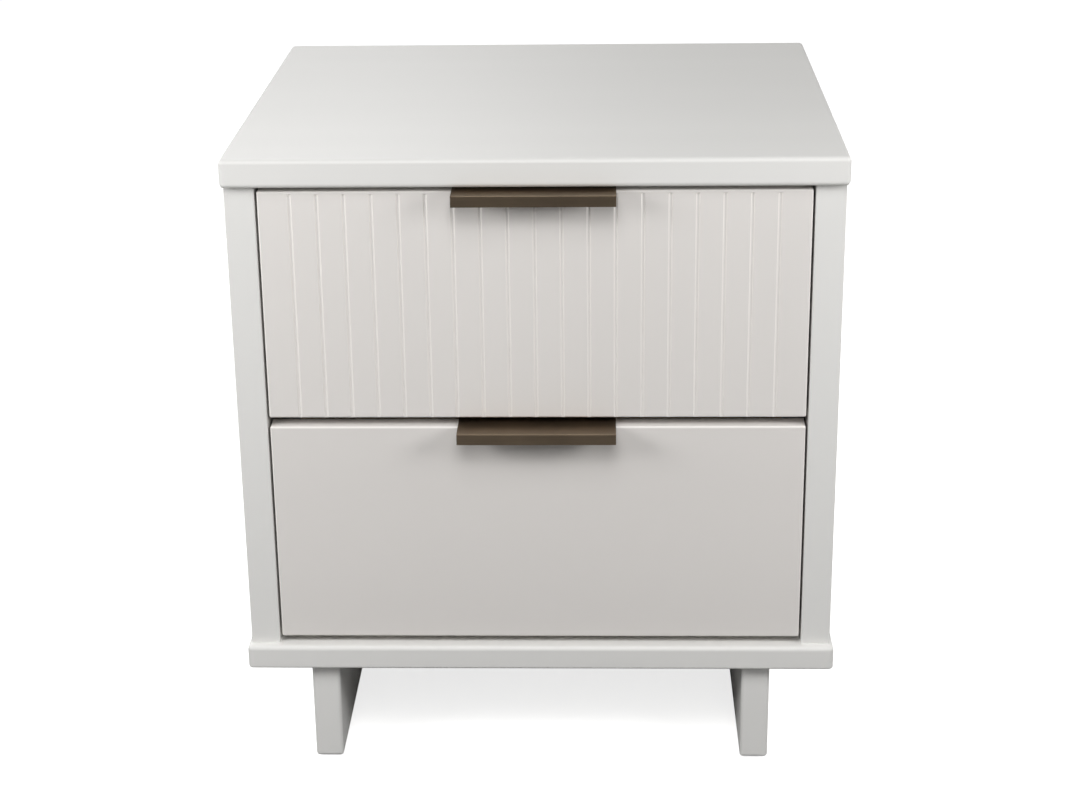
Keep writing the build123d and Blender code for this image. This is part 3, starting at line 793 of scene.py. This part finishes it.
class NIGHTSTAND_OT_fittings(bpy.types.Operator):
    """Give the drawer boxes, slides and fastenings of the frame their finishes"""

    bl_idname = "nightstand.fittings"
    bl_label = "Boxes and fittings"

    def execute(self, context):
        colours = context.scene.nightstand_finishes
        birch_x = planed_wood("birch_across", colours.birch, colours.birch_dark, grain=0)
        birch_y = planed_wood("birch_lengthwise", colours.birch, colours.birch_dark, grain=1)
        ply = planed_wood("birch_ply", colours.birch, colours.birch_dark, grain=0, ring_width=22 * MM)
        beech = planed_wood("beech_dowel", colours.beech, colours.birch_dark, grain=2)
        slides = plated_steel("zinc_plated_slide", colours.zinc)
        screws = plated_steel("zinc_plated_screw", colours.zinc, roughness=0.28)
        balls = plated_steel("bearing_steel", colours.zinc, roughness=0.12)
        cast = fine_textured("zinc_die_cast", colours.zinc_cast, roughness=0.5, metallic=1.0)
        foil = fine_textured("white_foil_board", colours.foil, roughness=0.45)
        nylon = fine_textured("moulded_nylon", colours.nylon, roughness=0.5)
        acetal = fine_textured("moulded_acetal", colours.acetal, roughness=0.45)
        by_ending = {
            "_box_front": birch_x,
            "_box_back": birch_x,
            "_box_left_side": birch_y,
            "_box_right_side": birch_y,
            "_box_bottom": ply,
            "dowels": beech,
            "_rail": slides,
            "screws": screws,
            "_balls": balls,
            "_ball_cages": acetal,
            "cam_bolts": cast,
            "cam_locks": cast,
            "back_panel": foil,
            "leg_glides": nylon,
        }
        for name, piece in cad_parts.items():
            for ending, material in by_ending.items():
                if name.endswith(ending):
                    piece.material_slots[0].material = material
        return {"FINISHED"}


class NIGHTSTAND_OT_stage(bpy.types.Operator):
    """Set the pale floor, the soft lamps and the camera"""

    bl_idname = "nightstand.stage"
    bl_label = "Stage"

    def execute(self, context):
        stage = context.scene.nightstand_stage
        context.scene.view_settings.view_transform = "Standard"
        self.add_floor(context.scene.nightstand_finishes.floor)
        self.add_surround(context.scene)
        for name, (place, size, power) in LAMPS.items():
            self.add_lamp(name, place, size, getattr(stage, power))
        self.add_camera(context.scene, stage)
        return {"FINISHED"}

    def add_floor(self, colour):
        """A wide pale floor under the nightstand."""
        bpy.ops.object.select_all(action="DESELECT")
        bpy.ops.mesh.primitive_plane_add(size=30)
        floor = bpy.context.object
        floor.name = "studio_floor"
        floor.data.materials.append(studio_floor("studio_floor", colour))

    def add_surround(self, scene):
        """A white surround that is seen but gives no light."""
        scene.world = bpy.data.worlds.new("studio")
        scene.world.use_nodes = True
        tree = scene.world.node_tree
        tree.nodes.clear()
        seen = add_node(tree, "ShaderNodeLightPath").outputs["Is Camera Ray"]
        light = add_node(
            tree, "ShaderNodeBackground", {"Color": (1.0, 1.0, 1.0, 1.0), "Strength": seen}
        ).outputs[0]
        add_node(tree, "ShaderNodeOutputWorld", {"Surface": light})

    def add_lamp(self, name, place, size, power):
        """A square soft lamp that looks at the middle of the nightstand."""
        bpy.ops.object.light_add(type="AREA", location=place)
        lamp = bpy.context.object
        lamp.name = name
        lamp.data.size = size
        lamp.data.energy = power
        aim = LAMPS_AIM - Vector(place)
        lamp.rotation_euler = aim.to_track_quat("-Z", "Y").to_euler()

    def add_camera(self, scene, stage):
        """The camera, from in front and above."""
        bpy.ops.object.camera_add()
        camera = bpy.context.object
        camera.name = "camera"
        camera.data.lens = stage.camera_lens
        camera.data.sensor_width = 36.0
        turn = Matrix.Rotation(stage.camera_yaw, 4, "Z")
        tilt = Matrix.Rotation(radians(90) - stage.camera_pitch, 4, "X")
        lean = Matrix.Rotation(stage.camera_roll, 4, "Z")
        camera.matrix_world = Matrix.Translation(stage.camera_place) @ turn @ tilt @ lean
        scene.camera = camera


class NIGHTSTAND_PT_panel(bpy.types.Panel):
    """Sidebar panel with the nightstand's pieces, sizes and finishes"""

    bl_label = "Nightstand"
    bl_idname = "NIGHTSTAND_PT_panel"
    bl_space_type = "VIEW_3D"
    bl_region_type = "UI"
    bl_category = "Nightstand"

    def draw(self, context):
        for operator in OPERATORS:
            self.layout.operator(operator.bl_idname)
        for group in (
            context.scene.nightstand_sizes,
            context.scene.nightstand_finishes,
            context.scene.nightstand_stage,
        ):
            box = self.layout.box()
            for name in group.__annotations__:
                box.prop(group, name)


GROUPS = {
    "nightstand_sizes": NightstandSizes,
    "nightstand_finishes": NightstandFinishes,
    "nightstand_stage": NightstandStage,
}
OPERATORS = (
    NIGHTSTAND_OT_slabs,
    NIGHTSTAND_OT_sides,
    NIGHTSTAND_OT_legs,
    NIGHTSTAND_OT_fronts,
    NIGHTSTAND_OT_pulls,
    NIGHTSTAND_OT_fittings,
    NIGHTSTAND_OT_stage,
)


def register():
    """Register the classes and hang the settings on the scene."""
    for made in (*GROUPS.values(), *OPERATORS, NIGHTSTAND_PT_panel):
        bpy.utils.register_class(made)
    for name, group in GROUPS.items():
        setattr(bpy.types.Scene, name, PointerProperty(type=group))


def unregister():
    """Take away what register added."""
    for name in GROUPS:
        delattr(bpy.types.Scene, name)
    for made in reversed((*GROUPS.values(), *OPERATORS, NIGHTSTAND_PT_panel)):
        bpy.utils.unregister_class(made)


def main():
    """Build every piece in order."""
    register()
    bpy.ops.nightstand.slabs()
    bpy.ops.nightstand.sides()
    bpy.ops.nightstand.legs()
    bpy.ops.nightstand.fronts()
    bpy.ops.nightstand.pulls()
    bpy.ops.nightstand.fittings()
    bpy.ops.nightstand.stage()


if __name__ == "__main__":
    main()
